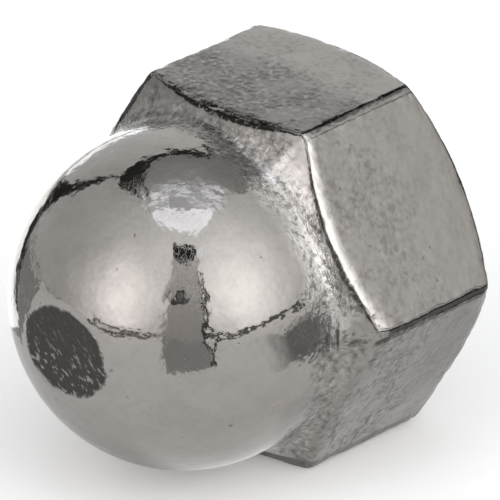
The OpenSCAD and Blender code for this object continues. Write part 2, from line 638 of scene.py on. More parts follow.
@dataclass(frozen=True)
class NickelPlate:
    """Bright nickel plate on tumbled steel: wavy and flecked, torn at the root and rough at the tip."""

    colour: Colour = (0.361, 0.342, 0.323)
    flat_colour: Colour = (0.338, 0.32, 0.302)
    cloud_colour: Colour = (0.235, 0.222, 0.208)
    fleck_colour: Colour = (0.12, 0.113, 0.105)
    glint_colour: Colour = (0.56, 0.54, 0.515)
    # Colour of the dark lines along the edges, which are painted reflections of dark surroundings
    reflection_line_colour: Colour = (0.022, 0.02, 0.018)
    tip_colour: Colour = (0.057, 0.053, 0.05)
    roughness: float = 0.075
    flat_roughness: float = 0.16
    edge_roughness: float = 0.1
    tip_roughness: float = 0.42
    broad_size: float = 1.7
    broad_depth: float = 0.05
    fine_size: float = 0.5
    fine_depth: float = 0.017
    cloud_size: float = 1.5
    fleck_size: float = 0.27
    dome_cloud: float = 0.16
    flat_cloud: float = 0.6
    dome_fleck: float = 0.06
    flat_fleck: float = 0.7
    flat_glint: float = 0.32
    root_glint: float = 0.6
    root_fleck: float = 0.7
    root_shade: float = 0.9
    # Painted highlight laid over the rubbed root, by flat
    root_bare_and_highlight: float = 0.8
    root_dull: float = 0.8
    flat_dent: float = 0.008
    # Each flat's share of brightness kept under painted shade near the seat and the crown, its blotching, its
    # painted reflection line and its painted highlight
    plain_flat: FlatTone = FlatTone(0.0, 1.0, 1.0, 0.8, 0.6, 0.4)
    flat_tones: tuple[FlatTone, ...] = (
        FlatTone(90.0, 1.0, 0.66, 1.2, 1.0, 0.12),
        FlatTone(30.0, 0.85, 0.85, 0.45, 0.75, 1.0),
        FlatTone(-30.0, 0.73, 0.89, 1.2, 0.0, 0.0),
        FlatTone(150.0, 0.9, 0.75, 0.8, 1.9, 0.2),
    )
    # Dark painted reflection lines above and below each corner
    plain_corner: CornerTone = CornerTone(0.0, 0.2, 0.08, 0.25, 0.06, 0.6, 0.0)
    corner_tones: tuple[CornerTone, ...] = (
        CornerTone(60.0, 0.19, 0.14, 0.26, 0.06, 0.6, 0.0),
        CornerTone(0.0, 0.12, 0.05, 0.33, 0.25, 0.75, 0.42),
    )
    scratch_length: float = 1.6
    scratch_depth: float = 0.001
    scratch_share: float = 0.08
    pit_spacing: float = 0.7
    pit_width: float = 0.17
    pit_depth: float = 0.012
    pit_share: float = 0.8
    seat_end: float = 3.0
    crown_start: float = 5.0
    # Dark painted reflection lines where the flats end at the crown and at the seat
    crown_reflection_line: float = -0.12
    crown_reflection_width: float = 0.17
    reflection_line_jag: float = 0.22
    seat_line: float = 0.05
    seat_line_width: float = 0.12
    seat_line_share: float = 0.95
    seat_line_jag: float = 0.08
    polish_reach: float = 0.9
    mark_run: float = 0.42
    mark_line: float = 0.24
    mark_depth: float = 0.045
    mark_share: float = 0.22
    mark_reach: float = 1.25
    mark_soft: float = 0.9
    mark_middle: float = 0.35
    mark_ragged: float = 2.4
    mark_ragged_size: float = 1.4
    mark_rim: Point = (0.1, 0.75)
    tip_across: float = 2.6
    tip_up: float = 2.16
    tip_soft: float = 0.2
    tip_ragged: float = 0.16
    tip_grain: float = 0.22
    tip_depth: float = 0.08
    tip_speck: float = 0.8
    tip_keep: float = 3.0
    speck_reach: float = 1.6
    speck_least: float = 0.08
    speck_polish: float = 0.7
    cloud_rise: Point = (1.8, 5.2)
    # Where the rubbed edge with its painted highlight lies, along the axis and past the corner
    bare_highlight_rise: Point = (5.0, 7.0)
    bare_highlight_edge: Point = (-0.1, 0.05)
    # Heights above the table over which the flats' painted shade sets in
    low_fade: Point = (1.0, 4.5)
    dome_to_flat: Point = (0.3, 0.05)

    def material(self, groups: PlatingGroups, nut: "CapNut") -> bpy.types.Material:
        """Make the material.

        Args:
            groups: the shared effects.
            nut: the nut, whose sizes place the zones.

        Returns:
            The finished material.
        """
        finish = Finish("nickel_plate", plated=True)
        position = finish.position()
        at = {"Position": position}
        gap = finish.add("ShaderNodeAttribute", attribute_name=nut.gap_name)["Vector"]
        place = finish.use(groups.place, at | {
            "Axis Height": nut.flat_radius * MM, "Seat": nut.length * MM / 2})
        along, radius, way = place["Along"], place["Radius"], place["Way"]
        waves, mottle, pits = groups.layers(finish, at, self)
        scratches = finish.use(groups.scratches, at | metres(self, "scratch_length", "scratch_depth"))
        marks = finish.use(groups.turning, {"Way": way, "Along": along, "Radius": radius} | metres(
            self, "mark_run", "mark_line", "mark_depth"))
        tip = finish.use(groups.grit, at | {"Distance": self._tip_distance(position, along, nut)} | metres(
            self, "tip_across", "tip_soft", "tip_ragged", "tip_grain", "tip_depth"))
        flat = self._flat_shares(way)
        worn = finish.use(groups.edges, at | {"Gap": gap} | self._reflection_line_inputs(along, flat["scaled"])
                          | self._corner_lines(way, along) | metres(self, "polish_reach"))

        flats = radius.ramp((nut.dome_radius + self.dome_to_flat[0]) * MM,
                            (nut.flat_radius + self.dome_to_flat[1]) * MM)
        root = self._root(position, along, radius, nut)
        polish = worn["Turned"].at_least(worn["Side"])
        crownward = along.ramp(*in_metres(self.cloud_rise))
        patchy = crownward.between(0.3, 1.0) * mottle["Cloud"].between(0.5, 1.3)
        blotched = flat["blotched"] * flats * (patchy * polish.between(1.0, 0.4))
        flecked = (blotched * self.flat_fleck).at_least(self.dome_fleck).at_least(root * self.root_fleck)
        speck = tip["Speck"] * self._speck_share(position, nut)

        colour = self._metal(position, flats, root, flat, blotched, crownward, mottle["Cloud"])
        # Rubbed edges and root lightened towards bright metal: partly wear, and partly a painted highlight
        # set by flat
        past = gap.parts()[0].ramp(*in_metres(self.bare_highlight_edge))
        rubbed = flat["bare"] * (along.ramp(*in_metres(self.bare_highlight_rise)) * past)
        bare = (worn["Turned"] ** 1.5 * rubbed).at_least(root * flat["bare"] * self.root_bare_and_highlight)
        colour = colour.painted(bare, self.glint_colour)
        dark = (mottle["Fleck"] * flecked).at_least(pits["Mask"] * self.pit_share)
        dark = dark.at_least(marks["Streak"] * root * self.mark_share)
        dark = dark.at_least(scratches["Mask"] * self.scratch_share)
        colour = colour.painted(dark, self.fleck_colour)
        glinting = flecked * root.between(self.flat_glint, self.root_glint)
        colour = colour.painted(mottle["Glint"] * glinting, self.glint_colour)
        # Scale holds the dark lines along the edges, which are painted reflections of dark surroundings
        colour = colour.painted(worn["Scale"], self.reflection_line_colour).painted(tip["Mask"], self.tip_colour)
        colour = colour.painted(speck * self.tip_speck, self.colour)

        rough = flats.at_least(root * self.root_dull).between(self.roughness, self.flat_roughness)
        rough = polish.between(rough, self.edge_roughness)
        rough = rough.at_least((tip["Mask"] - speck * self.speck_polish) * self.tip_roughness)
        dents = (mottle["Glint"] - mottle["Fleck"]) * (flecked * (self.flat_dent * MM))
        height = waves["Height"] + dents + pits["Height"] + scratches["Height"] + tip["Height"]
        return finish.plate(colour, rough, height + marks["Height"] * root)

    def _metal(self, position: Value, flats: Value, root: Value, flat: dict[str, Value], blotched: Value,
               crownward: Value, cloud: Value) -> Value:
        """Add the colour of the plate with each flat's painted shade, under its flecks, dark painted
        reflection lines and highlighted rubbed spots.

        Args:
            position: the point.
            flats: 1 on the hexagon and 0 on the dome.
            root: 1 at the root, between the two.
            flat: how the flat differs from the rest.
            blotched: how strongly the surface is blotched.
            crownward: 0 at the seat's end of a flat and 1 at its crown's end.
            cloud: the broad clouds.

        Returns:
            The colour.
        """
        cloudy = cloud * (blotched * self.flat_cloud).at_least(self.dome_cloud)
        # Painted shade: each flat is darkened by its own share from seat to crown, over the root too, and
        # less towards the table
        shade = crownward.between(flat["seat_shade"], flat["crown_shade"])
        shade = shade * flats.at_least(root * self.root_shade)
        shade = shade * position.parts()[2].ramp(*in_metres(self.low_fade))
        colour = flats.sketch.mix(flats, self.colour, self.flat_colour)
        return colour.painted(cloudy, self.cloud_colour).painted(shade, BLACK)

    def _halves(self, along: Value, seat: object, crown: object) -> Value:
        """Pass from a value that holds near the seat to one that holds near the crown."""
        return along.ramp(self.seat_end * MM, self.crown_start * MM, seat, crown)

    def _reflection_line_inputs(self, along: Value, scaled: Value) -> dict[str, Value]:
        """Add the dark lines, painted reflections, where the flats end at the seat and the crown, as inputs
        of the worn edges.

        Args:
            along: how far the point lies from the seat, along the axis.
            scaled: how dark the painted reflection line at the flat's crown edge is.

        Returns:
            The values as nodes, by the names of the inputs.
        """
        growth = scaled.at_least(1.0)
        return {
            "Turned Line": self._halves(along, self.seat_line * MM, growth * (self.crown_reflection_line * MM)),
            "Turned Width": self._halves(along, self.seat_line_width * MM, growth * (self.crown_reflection_width * MM)),
            "Turned Share": self._halves(along, self.seat_line_share, scaled),
            "Scale Jag": self._halves(along, self.seat_line_jag * MM, self.reflection_line_jag * MM)}

    def _flat_shares(self, way: Value) -> dict[str, Value]:
        """Add how each flat differs from the rest, painted shade included, from the direction in which a
        point lies off the axis.

        Args:
            way: the direction in which the point lies off the axis.

        Returns:
            The strengths as nodes, by name.
        """
        shares = self.plain_flat.shares()
        for tone in self.flat_tones:
            shares = passing(way, tone.clock, 32.0, 29.0, shares, tone.shares())
        return shares

    def _corner_lines(self, way: Value, along: Value) -> dict[str, Value]:
        """Add where the dark painted reflection lines run beside each corner, and how wide, as inputs of the
        worn edges.

        Args:
            way: the direction in which the point lies off the axis.
            along: how far the point lies from the seat, along the axis.

        Returns:
            The values as nodes, by the names of the inputs.
        """
        lines = self.plain_corner.lines()
        for tone in self.corner_tones:
            start, end = tone.lower_line * MM, (tone.lower_line + tone.droop) * MM
            sloping = {"Lower Line": along.ramp(6.7 * MM, 8.3 * MM, start, end)}
            lines = passing(way, tone.clock, 26.0, 20.0, lines, tone.lines() | sloping)
        return lines

    def _speck_share(self, position: Value, nut: "CapNut") -> Value:
        """Add how many of the tip's specks show: few at its upper edge and all at its lower one.

        Args:
            position: the point.
            nut: the nut, whose sizes place the marks.

        Returns:
            The share.
        """
        middle = nut.flat_radius + nut.dome_shift[1]
        upper, lower = (middle + self.speck_reach) * MM, (middle - self.speck_reach) * MM
        return position.parts()[2].ramp(upper, lower, self.speck_least, 1.0)

    def _tip_distance(self, position: Value, along: Value, nut: "CapNut") -> Value:
        """Add how far a point lies from the tip's middle, measured so that the dull patch is an ellipse.

        Args:
            position: the point.
            along: how far the point lies from the seat, along the axis.
            nut: the nut, whose sizes place the marks.

        Returns:
            The distance.
        """
        middle = (nut.dome_shift[0] * MM, 0.0, (nut.flat_radius + nut.dome_shift[1]) * MM)
        stretch = (1.0, 0.0, self.tip_across / self.tip_up)
        off = position.vector("SUBTRACT", middle).vector("MULTIPLY", stretch)
        return off.vector("LENGTH").at_least((nut.length * MM - along) * self.tip_keep)

    def _root(self, position: Value, along: Value, radius: Value, nut: "CapNut") -> Value:
        """Add how strongly the lathe's marks show: fully at the root, and less along dome and shoulder.

        Args:
            position: the point.
            along: how far the point lies from the seat, along the axis.
            radius: how far the point lies from the axis.
            nut: the nut, whose sizes place the marks.

        Returns:
            The share.
        """
        ragged = position.noise(self.mark_ragged_size * MM, 3.0, 0.6) - 0.5
        reach = ragged * (self.mark_ragged * MM) + self.mark_reach * MM
        away = abs(along - (nut.root_height + self.mark_middle) * MM)
        last, first = ((nut.flat_radius + step) * MM for step in self.mark_rim)
        inside = radius.ramp(first, last)
        return away.ramp(reach - self.mark_soft * MM, reach, 1.0, 0.0) * inside


@dataclass(frozen=True)
class CutThread:
    """The tapped bore: thin plate over tool marks, a little duller than the outside."""

    colour: Colour = (0.335, 0.318, 0.30)
    pit_colour: Colour = (0.12, 0.114, 0.108)
    roughness: float = 0.22
    broad_size: float = 1.2
    broad_depth: float = 0.012
    fine_size: float = 0.3
    fine_depth: float = 0.008
    cloud_size: float = 0.9
    cloud_share: float = 0.35
    fleck_size: float = 0.14
    pit_spacing: float = 0.6
    pit_width: float = 0.14
    pit_depth: float = 0.01

    def material(self, groups: PlatingGroups) -> bpy.types.Material:
        """Make the material from the shared effects.

        Args:
            groups: the shared effects.

        Returns:
            The finished material.
        """
        finish = Finish("tapped_bore", plated=True)
        waves, mottle, pits = groups.layers(finish, {"Position": finish.position()}, self)
        stain = (mottle["Cloud"] * self.cloud_share).at_least(pits["Mask"])
        colour = finish.mix(stain, self.colour, self.pit_colour)
        return finish.plate(colour, self.roughness, waves["Height"] + pits["Height"])


@dataclass(frozen=True)
class WornSpot:
    """A place on the hexagon that knocks have rubbed away."""

    clock: float
    height: float
    width: float
    depth: float


def bake(holder: bpy.types.Object, tree: bpy.types.NodeTree, inputs: dict[str, object]) -> bpy.types.Mesh:
    """Run a geometry tree on an object and keep the result as a plain mesh.

    Args:
        holder: the object that carries the modifier, which is removed again.
        tree: the geometry tree.
        inputs: the tree's inputs by name.

    Returns:
        The resulting mesh.
    """
    modifier = holder.modifiers.new(tree.name, "NODES")
    modifier.node_group = tree
    sockets = {s.name: s.identifier for s in tree.interface.items_tree if s.in_out == "INPUT"}
    for name, value in inputs.items():
        modifier[sockets[name]] = value
    depsgraph = bpy.context.evaluated_depsgraph_get()
    mesh = bpy.data.meshes.new_from_object(holder.evaluated_get(depsgraph), depsgraph=depsgraph)
    holder.modifiers.remove(modifier)
    return mesh


@dataclass
class CapNut:
    """The nut: hexagon bar turned to a dome, with a tapped blind bore. The frame gives its outer sizes."""

    length: float
    flat_radius: float
    corner_radius: float
    edge_round: float = 0.6
    edge_flat_side: float = 1.4
    edge_cone_side: float = 0.5
    keen_share: float = 0.3
    seat_share: float = 0.4
    worn_corner: float = 0.0
    keen_turn: Point = (2.0, 15.0)
    worn_turn: Point = (20.0, 6.0)
    fall_depth: float = 0.02
    fall_width: float = 1.6
    seat_slope: float = 32.0
    seat_inset: float = 0.25
    flat_height: float = 8.2
    crown_slope: float = 34.0
    shoulder: float = 0.6
    skirt: float = 1.8
    root_round: float = 1.2
    tip_radius: float = 2.35
    thread_radius: float = 5.0
    pitch: float = 1.5
    mouth_radius: float = 5.4
    mouth_half_angle: float = 60.0
    thread_end: float = 11.2
    thread_sunk: float = 0.05
    thread_first: float = 0.02
    thread_behind: float = 0.03
    tip_wall: float = 2.5
    drill_half_angle: float = 59.0
    tumble: float = 0.02
    tumble_size: float = 2.4
    unworn_share: float = 1.02
    batter: float = 0.06
    batter_size: float = 0.8
    batter_corner: Point = (0.9, 0.1)
    batter_rim: Point = (0.7, 0.05)
    dome_shift: Point = (-0.02, -0.16)
    worn_spots: tuple[WornSpot, ...] = (
        WornSpot(120.0, 3.2, 2.1, 0.08),
        WornSpot(120.0, 0.5, 1.0, 0.03),
        WornSpot(60.0, 0.5, 1.0, 0.03),
        WornSpot(0.0, 8.0, 1.0, 0.22),
    )
    gap_name: str = "edge_gap"
    section_turn: float = 90.0
    overcut: float = 0.6
    bore_spacing: tuple[float, ...] = (2.0, 0.7, 0.4, 1.0, 0.16)
    outside_spacing: tuple[float, ...] = (0.35, 0.09, 0.16, 0.055)
    dome_spacing: float = 0.2
    plan_coarse: int = 42
    plan_fine: int = 12
    plan_corner: float = 3.0
    dome_rings: int = 62
    fillet_rings: int = 10
    turn_steps: int = 96
    plate: NickelPlate = field(default_factory=NickelPlate)
    tapped: CutThread = field(default_factory=CutThread)

    @property
    def dome_radius(self) -> float:
        """The radius of the dome and its straight wall."""
        return self.flat_radius - self.shoulder

    @property
    def minor_radius(self) -> float:
        """The inner radius of the thread, where the drill ran."""
        return self.thread_radius - INTERNAL_THREAD_SHARE * self.pitch / 2

    @property
    def flat_top(self) -> float:
        """The height at which the crown chamfer meets the middle of a flat."""
        return self.seat_inset * tan(radians(self.seat_slope)) + self.flat_height

    @property
    def root_height(self) -> float:
        """The height of the middle of the fillet between crown chamfer and dome."""
        return self.flat_top + self.shoulder * tan(radians(self.crown_slope)) + 0.05

    def profile(self) -> list[Ring]:
        """Work out the turned half section, from the drill point up the outside to the tip.

        Returns:
            Radius, height and zone of each ring of the mesh.
        """
        slope, crown = tan(radians(self.seat_slope)), tan(radians(self.crown_slope))
        wide = self.corner_radius + self.overcut
        seat_radius = self.flat_radius - self.seat_inset
        shoulder_height = self.flat_top + self.shoulder * crown
        sphere_height = shoulder_height + self.skirt
        drill = self.minor_radius / tan(radians(self.drill_half_angle))
        bore_height = self.length - self.tip_wall - drill
        mouth = (self.mouth_radius - self.thread_radius) / tan(radians(self.mouth_half_angle))
        bore = [(0.0, bore_height + drill), (self.minor_radius, bore_height),
                (self.minor_radius, self.thread_end + 0.5), (self.thread_radius, self.thread_end - 0.1),
                (self.thread_radius, mouth), (self.mouth_radius, 0.0)]
        rings = self._line(bore, self.bore_spacing, Zone.BORE)
        seat_low = (wide, (wide - seat_radius) * slope)
        crown_top = (wide, self.flat_top - (wide - self.flat_radius) * crown)
        middle = self.dome_radius + self.root_round
        height = shoulder_height - self.root_round * crown + self.root_round / cos(radians(self.crown_slope))
        fillet = [(middle - self.root_round * sin(radians(a)), height - self.root_round * cos(radians(a)))
                  for a in evenly(self.crown_slope, 90.0, self.fillet_rings)]
        outside = [(self.mouth_radius, 0.0), (seat_radius, 0.0), seat_low, crown_top, fillet[0]]
        rings += self._line(outside, self.outside_spacing, Zone.OUTSIDE)
        rings += [(r, z, Zone.OUTSIDE) for r, z in fillet[1:-1]]
        wall = [fillet[-1], (self.dome_radius, sphere_height)]
        rings += self._line(wall, (self.dome_spacing,), Zone.OUTSIDE)
        last = degrees(acos(self.tip_radius / self.dome_radius))
        dome = [(self.dome_radius * cos(radians(a)), sphere_height + self.dome_radius * sin(radians(a)))
                for a in evenly(0.0, last, self.dome_rings)]
        rings += [(r, z, Zone.OUTSIDE) for r, z in dome[1:]]
        rings += self._line([dome[-1], (0.0, self.length)], (self.dome_spacing,), Zone.OUTSIDE)
        return rings

    @staticmethod
    def _line(points: list[Point], spacing: tuple[float, ...], zone: Zone) -> list[Ring]:
        """Divide straight runs of a half section into rings.

        Args:
            points: the corners of the runs.
            spacing: the greatest step along each run.
            zone: the zone that the rings belong to.

        Returns:
            The rings, with the first point left out, because the run before it ends there.
        """
        rings = []
        for (r0, z0), (r1, z1), step in zip(points, points[1:], spacing):
            count = max(1, round(hypot(r1 - r0, z1 - z0) / step))
            rings += [(r, z, zone) for r, z in list(zip(evenly(r0, r1, count), evenly(z0, z1, count)))[1:]]
        return rings

    def plan_angles(self) -> list[float]:
        """List the directions of the mesh's columns in radians, close together at the six corners.

        Returns:
            The directions.
        """
        side = 360.0 / CORNERS
        angles = []
        for middle in (side * corner for corner in range(CORNERS)):
            angles += evenly(middle - self.plan_corner, middle + self.plan_corner, self.plan_fine)[:-1]
            start, end = middle + self.plan_corner, middle + side - self.plan_corner
            angles += evenly(start, end, self.plan_coarse)[:-1]
        return [radians(a) for a in angles]

    def blank(self, *finishes: bpy.types.Material) -> bpy.types.Object:
        """Turn the half section round the axis, before the hexagon is milled.

        Args:
            finishes: the materials, in the order of the zones.

        Returns:
            The upright turned blank, in metres.
        """
        rings, angles = self.profile()[:-1], self.plan_angles()
        columns = len(angles)
        apex = self.length - self.tip_wall
        points = [(0.0, 0.0, apex * MM)]
        points += [(r * cos(a) * MM, r * sin(a) * MM, z * MM) for r, z, _ in rings for a in angles]
        points.append((0.0, 0.0, self.length * MM))
        top, last = 1 + (len(rings) - 1) * columns, len(points) - 1
        faces = [tuple(1 + k for k in face) for face in grid_faces(len(rings) - 1, columns, closed=True)]
        faces += [(0, 1 + (k + 1) % columns, 1 + k) for k in range(columns)]
        faces += [(top + k, top + (k + 1) % columns, last) for k in range(columns)]
        zones = [zone for _, _, zone in rings[1:] for _ in angles]
        zones += [Zone.BORE] * columns + [Zone.OUTSIDE] * columns
        blank = new_object("turned_blank", points, faces, *finishes)
        blank.data.polygons.foreach_set("material_index", [z.value for z in zones])
        log.info("turned blank: %d rings, %d columns", len(rings), columns)
        return blank

    @staticmethod
    def worn_tree() -> bpy.types.NodeTree:
        """Build the small group that tells how deep one worn spot is at a point.

        Returns:
            The finished group.
        """
        tree = Group("worn_spot", {"Position": VECTOR, "Corner Radius": 0.0, "Clock": 0.0, "Height": 0.0,
                                   "Width": 0.001, "Depth": 0.0}, "GeometryNodeTree")
        reach, clock = tree["Corner Radius"], tree["Clock"]
        middle = tree.combined(reach * clock.cosine(), reach * clock.sine(), tree["Height"])
        share = (tree["Position"].vector("DISTANCE", middle) / tree["Width"]) ** 2.0
        return tree.give(Fall=tree["Depth"] * (share * -1.0).exponential())

    def milling_tree(self) -> bpy.types.NodeTree:
        """Build the geometry tree that cuts a blank back to a hexagon with rounded, worn edges.

        Returns:
            The finished tree.
        """
        tree = Group("milled_hexagon", {
            "Geometry": GEOMETRY, "Flat Radius": 0.0, "Corner Radius": 0.0, "Corner Centre": 0.0,
            "Edge Round": 0.0, "Round Half Angle": 0.0, "Edge Flat Side": 0.001, "Edge Cone Side": 0.001,
            "Keen Share": 1.0, "Seat Share": 1.0, "Middle": 0.001, "Worn Corner": 0.0, "Fall Depth": 0.0,
            "Fall Width": 0.001, "Tumble": 0.0, "Tumble Size": 0.001, "Batter": 0.0, "Batter Size": 0.001,
            "Flat Top": 0.0, "Shift End": 0.001, "Dome Shift": VECTOR, "Outside": MATERIAL, "Bore": MATERIAL,
        }, "GeometryNodeTree")
        start = tree.add("GeometryNodeInputPosition")
        x, y, z = start.parts()
        radius = tree.combined(x, y).vector("LENGTH")
        angle = tree.math("ARCTAN2", y, x)
        turned = tree.math("FLOORED_MODULO", angle + pi / CORNERS, 2 * pi / CORNERS) - pi / CORNERS
        bar, from_corner = self._bar(tree, abs(turned))
        rounded, past = self._round_edge(tree, radius, bar, angle, abs(turned), z)
        knocks = start.noise(tree["Batter Size"], 2.0).ramp(0.4, 0.75)
        at_corner, at_rim = in_metres(self.batter_corner), in_metres(self.batter_rim)
        at_edge = from_corner.ramp(*at_corner).at_least(abs(past).ramp(*at_rim))
        lost = start.noise(tree["Tumble Size"], 2.0).ramp(0.4, 0.8) * tree["Tumble"]
        lost = lost + knocks * at_edge * tree["Batter"]
        bar_place = tree.combined(bar * angle.cosine(), bar * angle.sine(), z)
        worn = self.worn_tree()
        for spot in self.worn_spots:
            lost = lost + tree.use(worn, metres(spot, "height", "width", "depth") | {
                "Position": bar_place, "Corner Radius": tree["Corner Radius"], "Clock": radians(spot.clock)})
        outer = radius > self.dome_radius * MM * self.unworn_share
        share = (rounded - lost * outer) / radius.at_least(1e-6)
        place = tree.combined(x * share, y * share, z)
        slot = tree.add("GeometryNodeInputMaterialIndex")
        in_bore = tree.add("FunctionNodeCompare", {2: slot, 3: Zone.BORE.value}, data_type="INT",
                           operation="EQUAL")
        outside = tree.add("FunctionNodeBooleanMath", {0: in_bore}, operation="NOT")
        moved = tree["Dome Shift"].scaled(z.ramp(tree["Flat Top"], tree["Shift End"]) * outside)
        gap = tree.combined(past, from_corner, tree.math("SIGN", turned))
        marked = tree.add("GeometryNodeStoreNamedAttribute", {
            "Geometry": tree["Geometry"], "Name": self.gap_name, "Value": gap},
            data_type="FLOAT_VECTOR", domain="POINT")
        milled = tree.add("GeometryNodeSetPosition", {
            "Geometry": marked, "Position": place.vector("ADD", moved)})
        dressed = tree.add("GeometryNodeRealizeInstances", {"Geometry": milled})
        for selection, finish in ((outside, "Outside"), (in_bore, "Bore")):
            dressed = tree.add("GeometryNodeSetMaterial", {
                "Geometry": dressed, "Selection": selection, "Material": tree[finish]})
        return tree.give(Geometry=dressed)

    @staticmethod
    def _bar(tree: Group, off: Value) -> tuple[Value, Value]:
        """Add the outline of the bar: flats that fall away a little towards corners that are arcs.

        Args:
            tree: the milling tree.
            off: the angle from the nearest corner.

        Returns:
            How far the bar reaches from the axis, and how far the point lies from the corner along its flat.
        """
        from_middle = pi / CORNERS - off
        flat_radius, centre = tree["Flat Radius"], tree["Corner Centre"]
        inside = tree["Edge Round"] ** 2.0 - (centre * off.sine()) ** 2.0
        arc = centre * off.cosine() + tree.math("SQRT", inside.at_least(0.0))
        at_corner = off < tree["Round Half Angle"]
        bar = arc * at_corner + flat_radius / from_middle.cosine() * (1.0 - at_corner)
        from_corner = flat_radius * tan(pi / CORNERS) - flat_radius * from_middle.tangent()
        share = (1.0 - from_corner / tree["Fall Width"]).at_least(0.0)
        return bar - share ** 3.0 * tree["Fall Depth"], from_corner

    def _round_edge(self, tree: Group, radius: Value, bar: Value, angle: Value, off: Value,
                    height: Value) -> tuple[Value, Value]:
        """Add the edge between a chamfer and the bar: wide and slow on the flat, short on the chamfer.

        Args:
            tree: the milling tree.
            radius: the blank's distance from the axis.
            bar: the bar's distance from the axis.
            angle: the direction round the axis.
            off: the angle from the nearest corner.
            height: the height above the bearing ring.

        Returns:
            The rounded distance from the axis, and how far the blank stands past the bar.
        """
        keen = tree["Keen Share"]
        to_worn = (angle - tree["Worn Corner"]).cosine()
        wear = off.ramp(*(radians(a) for a in self.keen_turn), keen, 1.0)
        wear = wear.at_least(to_worn.ramp(*(cos(radians(a)) for a in self.worn_turn), keen, 1.0))
        wear = wear * height.ramp(tree["Middle"] * 0.5, tree["Middle"], tree["Seat Share"], 1.0)
        past = radius - bar
        flat_side, cone_side = tree["Edge Flat Side"] * wear, tree["Edge Cone Side"] * wear
        beyond = past > 0.0
        side = flat_side * beyond + cone_side * (1.0 - beyond)
        near = (1.0 - abs(past) / side).at_least(0.0)
        most = flat_side * cone_side / ((flat_side + cone_side) * 3.0)
        return radius.at_most(bar) - most * near ** 3.0, past

    def thread_tree(self) -> bpy.types.NodeTree:
        """Build the geometry tree that sweeps the thread's section along a right-hand helix.

        Returns:
            The finished tree.
        """
        tree = Group("helical_thread", {
            "Geometry": GEOMETRY, "Radius": 0.0, "Pitch": 0.0, "Turns": 0.0, "Start": 0.0,
            "Ridge Height": 0.0, "Crest Width": 0.0, "Base Width": 0.0, "Mouth Radius": 0.0,
            "Mouth Slope": 0.0, "Finish": MATERIAL,
        }, "GeometryNodeTree")
        helix = tree.add("GeometryNodeCurveSpiral", {
            "Resolution": self.turn_steps, "Rotations": tree["Turns"], "Start Radius": tree["Radius"],
            "End Radius": tree["Radius"], "Height": tree["Pitch"] * tree["Turns"], "Reverse": True})
        level = tree.add("GeometryNodeSetCurveNormal", {"Curve": helix}, mode="Z_UP")
        section = tree.add("GeometryNodeCurvePrimitiveQuadrilateral", {
            "Height": tree["Ridge Height"], "Bottom Width": tree["Base Width"],
            "Top Width": tree["Crest Width"], "Offset": 0.0}, mode="TRAPEZOID")
        turned = tree.add("GeometryNodeTransform", {
            "Geometry": section, "Rotation": (0.0, 0.0, radians(self.section_turn))})
        sweep = tree.add("GeometryNodeCurveToMesh", {
            "Curve": level, "Profile Curve": turned, "Fill Caps": True})
        lifted = tree.add("GeometryNodeTransform", {
            "Geometry": sweep, "Translation": tree.combined(z=tree["Start"])})
        x, y, z = tree.add("GeometryNodeInputPosition").parts()
        radius = tree.combined(x, y).vector("LENGTH")
        height = z.at_least(self.thread_first * MM)
        cone = tree["Mouth Radius"] - height * tree["Mouth Slope"]
        share = radius.at_least(cone + self.thread_behind * MM) / radius
        trimmed = tree.add("GeometryNodeSetPosition", {
            "Geometry": lifted, "Position": tree.combined(x * share, y * share, height)})
        real = tree.add("GeometryNodeRealizeInstances", {"Geometry": trimmed})
        return tree.give(Geometry=tree.add("GeometryNodeSetMaterial", {
            "Geometry": real, "Material": tree["Finish"]}))

    def laid(self) -> Matrix:
        """Return the move from the upright nut to the nut that lies on its flat, dome towards -Y."""
        turn = Matrix.Rotation(radians(90.0), 4, "X")
        return Matrix.Translation((0.0, self.length * MM / 2, self.flat_radius * MM)) @ turn

    def body(self, outside: bpy.types.Material, bore: bpy.types.Material) -> bpy.types.Mesh:
        """Mill the turned blank to the nut's body.

        Args:
            outside: the plate on the outside.
            bore: the finish of the bore.

        Returns:
            The body, upright.
        """
        blank = self.blank(outside, bore)
        centre = self.corner_radius - self.edge_round
        half = asin(self.edge_round * 0.5 / sqrt(centre ** 2 + self.edge_round ** 2
                                                 + 2 * centre * self.edge_round * cos(pi / CORNERS)))
        body = bake(blank, self.milling_tree(), metres(
            self, "flat_radius", "corner_radius", "edge_round", "edge_flat_side", "edge_cone_side",
            "fall_depth", "fall_width", "tumble", "tumble_size", "batter", "batter_size", "flat_top") | {
            "Corner Centre": centre * MM, "Round Half Angle": half, "Keen Share": self.keen_share,
            "Seat Share": self.seat_share, "Middle": self.flat_top * MM / 2,
            "Worn Corner": radians(self.worn_corner), "Shift End": (self.root_height + 0.2) * MM,
            "Dome Shift": (self.dome_shift[0] * MM, self.dome_shift[1] * MM, 0.0),
            "Outside": outside, "Bore": bore})
        bpy.data.objects.remove(blank)
        return body

    def thread(self, bore: bpy.types.Material) -> bpy.types.Mesh:
        """Sweep the thread's ridge, sunk a little into the wall that carries it.

        Args:
            bore: the finish of the bore.

        Returns:
            The thread, upright.
        """
        sunk = self.thread_sunk
        ridge = self.thread_radius - self.minor_radius + sunk
        base = self.pitch * 7 / 8 + 2 * sunk * tan(radians(FLANK))
        first = -self.pitch
        holder = new_object("thread_holder", [], [])
        thread = bake(holder, self.thread_tree(), metres(self, "pitch", "mouth_radius") | {
            "Radius": (self.thread_radius + sunk - ridge / 2) * MM,
            "Turns": (self.thread_end - first) / self.pitch, "Start": first * MM, "Ridge Height": ridge * MM,
            "Crest Width": self.pitch / 4 * MM, "Base Width": base * MM,
            "Mouth Slope": tan(radians(self.mouth_half_angle)), "Finish": bore})
        bpy.data.objects.remove(holder)
        radii = [hypot(v.co.x, v.co.y) / MM for v in thread.vertices]
        log.info("thread: %d faces, radius %.3f to %.3f mm", len(thread.polygons), min(radii), max(radii))
        return thread

